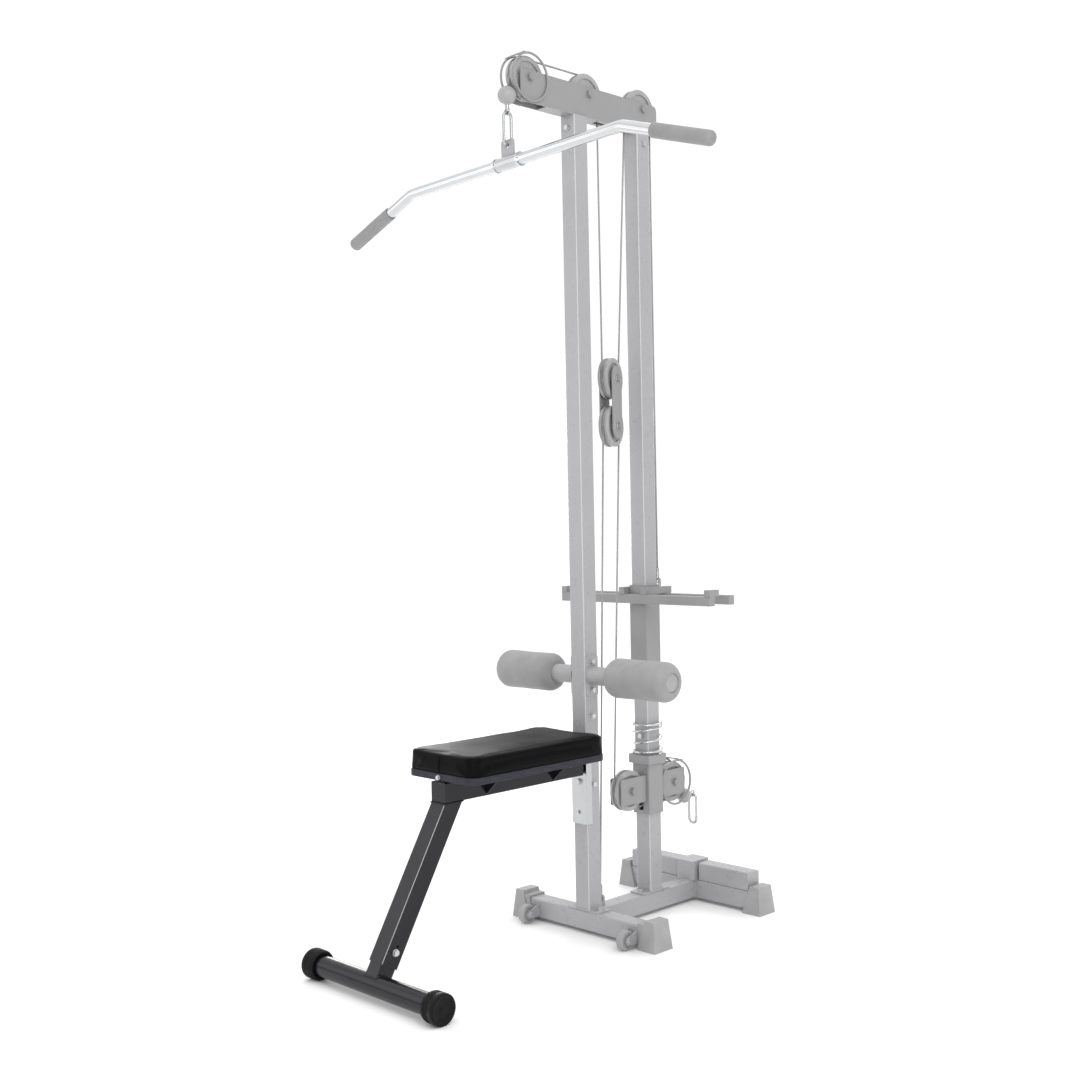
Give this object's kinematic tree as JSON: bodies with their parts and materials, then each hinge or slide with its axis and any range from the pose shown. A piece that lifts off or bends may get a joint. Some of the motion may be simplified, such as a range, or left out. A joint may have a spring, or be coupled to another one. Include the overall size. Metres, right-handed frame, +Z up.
{
  "type": "multi station home gym",
  "caption": "Free-standing home gym tower with lat pulldown bar, low row cable, leg rollers, lifting carriage and a bench seat on a telescoping foot.",
  "frame": {"origin": "on the floor under the middle of the footprint, which runs from the seat foot to the rear feet", "axes": "+Z up, the user sits on the -Y side facing +Y, +X to the seated user's right"},
  "size_m": [1.2912, 1.2158, 2.2645],
  "materials": {
    "frame_paint": "satin light grey powder coat",
    "seat_frame_paint": "satin charcoal powder coat",
    "beam_paint": "satin mid grey powder coat",
    "axle_steel": "grey dipped steel",
    "chrome": "polished",
    "zinc": "bright zinc plate",
    "nylon": "moulded grey nylon",
    "foam": "closed cell foam skin",
    "grip_rubber": "ribbed soft rubber",
    "boot_rubber": "moulded grey rubber",
    "black_rubber": "moulded black rubber",
    "vinyl": "black grained vinyl",
    "board": "black board edge",
    "cable_sheath": "nylon coated wire rope"
  },
  "bodies": {
    "frame": {"front_crossbar": "frame_paint", "base_rail": "frame_paint", "rear_crossbar": "frame_paint", "front_boots": "boot_rubber", "rear_boots": "boot_rubber", "front_upright": "frame_paint", "rear_upright": "frame_paint", "frame_bolts": "zinc", "axle_bolts": "axle_steel", "top_beam": "beam_paint", "top_guard": "beam_paint", "low_housing": "beam_paint", "row_guard": "beam_paint", "bumper_spring": "chrome", "seat_bracket": "zinc", "roller_bar": "frame_paint", "roller_sleeves": "nylon", "cable_anchor": "frame_paint", "seat_rail": "seat_frame_paint", "seat_post": "seat_frame_paint", "seat_board": "board", "seat_pad": "vinyl", "lat_cable_fixed": "cable_sheath", "low_cable_fixed": "cable_sheath", "lat_cable_mid": "cable_sheath", "lat_cable_back": "cable_sheath", "low_cable_front": "cable_sheath", "low_cable_back": "cable_sheath", "lat_cable_rear": "cable_sheath"},
    "foot": {"foot_frame": "seat_frame_paint", "foot_caps": "black_rubber"},
    "carriage": {"carriage_sleeve": "beam_paint", "carriage_liners": "nylon", "carriage_bars": "beam_paint", "carriage_lug": "zinc"},
    "float": {"float_plates": "beam_paint", "float_axles": "zinc", "float_cables": "cable_sheath"},
    "float_upper": {"float_pulley_upper": "nylon"},
    "float_lower": {"float_pulley_lower": "nylon"},
    "top_front": {"top_pulley_front": "nylon"},
    "top_mid": {"top_pulley_mid": "nylon"},
    "top_rear": {"top_pulley_rear": "nylon"},
    "low_front": {"low_pulley_front": "nylon"},
    "low_rear": {"low_pulley_rear": "nylon"},
    "lat_hook": {"lat_ball": "nylon"},
    "lat_swivel": {"lat_cable_end": "zinc", "lat_link": "zinc", "bar_hanger": "frame_paint"},
    "lat_gate": {"lat_gate": "zinc"},
    "grip_bar": {"lat_bar": "chrome", "bar_grips": "grip_rubber"},
    "row_hook": {"row_ball": "nylon", "row_cable_end": "zinc"},
    "row_link": {"row_link": "zinc"},
    "row_gate": {"row_gate": "zinc"},
    "roller_left": {"roller_foam_left": "foam"},
    "roller_right": {"roller_foam_right": "foam"},
    "wheel_left": {"transport_wheel_left": "boot_rubber"},
    "wheel_right": {"transport_wheel_right": "boot_rubber"}
  },
  "joints": [
    {"name": "carriage_lift", "type": "slide", "parent": "frame", "child": "carriage", "axis": [0, 0, 1], "range_m": [0, 0.95], "deforming": ["lat_cable_rear"]},
    {"name": "lat_pull", "type": "slide", "parent": "frame", "child": "lat_hook", "axis": [0, 0, -1], "range_m": [0, 0.95]},
    {"name": "bar_swivel", "type": "hinge", "parent": "lat_hook", "child": "lat_swivel", "pos_m": [0, -0.10161, 2.1485], "axis": [0, 0, 1], "range_deg": [-60, 60]},
    {"name": "bar_roll", "type": "hinge", "parent": "lat_swivel", "child": "grip_bar", "pos_m": [0.0012, -0.10161, 1.981], "axis": [0.9996, 0, 0.0279], "continuous": true},
    {"name": "lat_gate_hinge", "type": "hinge", "parent": "lat_swivel", "child": "lat_gate", "pos_m": [0, -0.11461, 2.0456], "axis": [-1, 0, 0], "range_deg": [0, 20], "stiffness_Nm_per_rad": 0.1, "springref_deg": -11.46},
    {"name": "top_front_spin", "type": "hinge", "parent": "frame", "child": "top_front", "pos_m": [0, -0.03911, 2.202], "axis": [1, 0, 0], "continuous": true},
    {"name": "top_mid_spin", "type": "hinge", "parent": "frame", "child": "top_mid", "pos_m": [0, 0.17589, 2.202], "axis": [1, 0, 0], "continuous": true},
    {"name": "top_rear_spin", "type": "hinge", "parent": "frame", "child": "top_rear", "pos_m": [0, 0.38789, 2.202], "axis": [1, 0, 0], "continuous": true},
    {"name": "float_drop", "type": "slide", "parent": "frame", "child": "float", "axis": [0, 0, -1], "range_m": [0, 0.45], "deforming": ["lat_cable_mid", "lat_cable_back", "low_cable_front", "low_cable_back"]},
    {"name": "float_upper_spin", "type": "hinge", "parent": "float", "child": "float_upper", "pos_m": [0, 0.25989, 1.463], "axis": [0.9511, 0.309, 0], "continuous": true},
    {"name": "float_lower_spin", "type": "hinge", "parent": "float", "child": "float_lower", "pos_m": [0, 0.25989, 1.3355], "axis": [0.9511, 0.309, 0], "continuous": true},
    {"name": "low_front_spin", "type": "hinge", "parent": "frame", "child": "low_front", "pos_m": [0, 0.29589, 0.349], "axis": [1, 0, 0], "continuous": true},
    {"name": "low_rear_spin", "type": "hinge", "parent": "frame", "child": "low_rear", "pos_m": [0, 0.47289, 0.349], "axis": [1, 0, 0], "continuous": true},
    {"name": "row_pull", "type": "slide", "parent": "frame", "child": "row_hook", "axis": [0, 1, 0], "range_m": [0, 0.9]},
    {"name": "row_link_swing", "type": "hinge", "parent": "row_hook", "child": "row_link", "pos_m": [0, 0.57389, 0.2968], "axis": [1, 0, 0], "range_deg": [-20, 90]},
    {"name": "row_gate_hinge", "type": "hinge", "parent": "row_link", "child": "row_gate", "pos_m": [0.013, 0.57389, 0.2358], "axis": [0, -1, 0], "range_deg": [0, 20], "stiffness_Nm_per_rad": 0.1, "springref_deg": -11.46},
    {"name": "roller_left_spin", "type": "hinge", "parent": "frame", "child": "roller_left", "pos_m": [-0.2, 0.13789, 0.678], "axis": [1, 0, 0], "continuous": true},
    {"name": "roller_right_spin", "type": "hinge", "parent": "frame", "child": "roller_right", "pos_m": [0.2, 0.13789, 0.678], "axis": [1, 0, 0], "continuous": true},
    {"name": "wheel_left_spin", "type": "hinge", "parent": "frame", "child": "wheel_left", "pos_m": [-0.178, 0.08089, 0.026], "axis": [1, 0, 0], "continuous": true},
    {"name": "wheel_right_spin", "type": "hinge", "parent": "frame", "child": "wheel_right", "pos_m": [0.178, 0.08089, 0.026], "axis": [1, 0, 0], "continuous": true},
    {"name": "foot_adjust", "type": "slide", "parent": "frame", "child": "foot", "axis": [0, -0.5075, -0.8616], "range_m": [0, 0.026]}
  ],
  "couplings": [
    {"joint": "lat_pull", "follows": "carriage_lift", "ratio": 1},
    {"joint": "top_front_spin", "follows": "carriage_lift", "rad_per_m": 19.685},
    {"joint": "top_mid_spin", "follows": "carriage_lift", "rad_per_m": 19.685},
    {"joint": "float_upper_spin", "follows": "carriage_lift", "rad_per_m": -19.685},
    {"joint": "top_rear_spin", "follows": "carriage_lift", "rad_per_m": 19.685},
    {"joint": "row_pull", "follows": "float_drop", "ratio": 2},
    {"joint": "low_front_spin", "follows": "float_drop", "rad_per_m": 39.37},
    {"joint": "low_rear_spin", "follows": "float_drop", "rad_per_m": 39.37},
    {"joint": "float_lower_spin", "follows": "float_drop", "rad_per_m": -19.685}
  ]
}
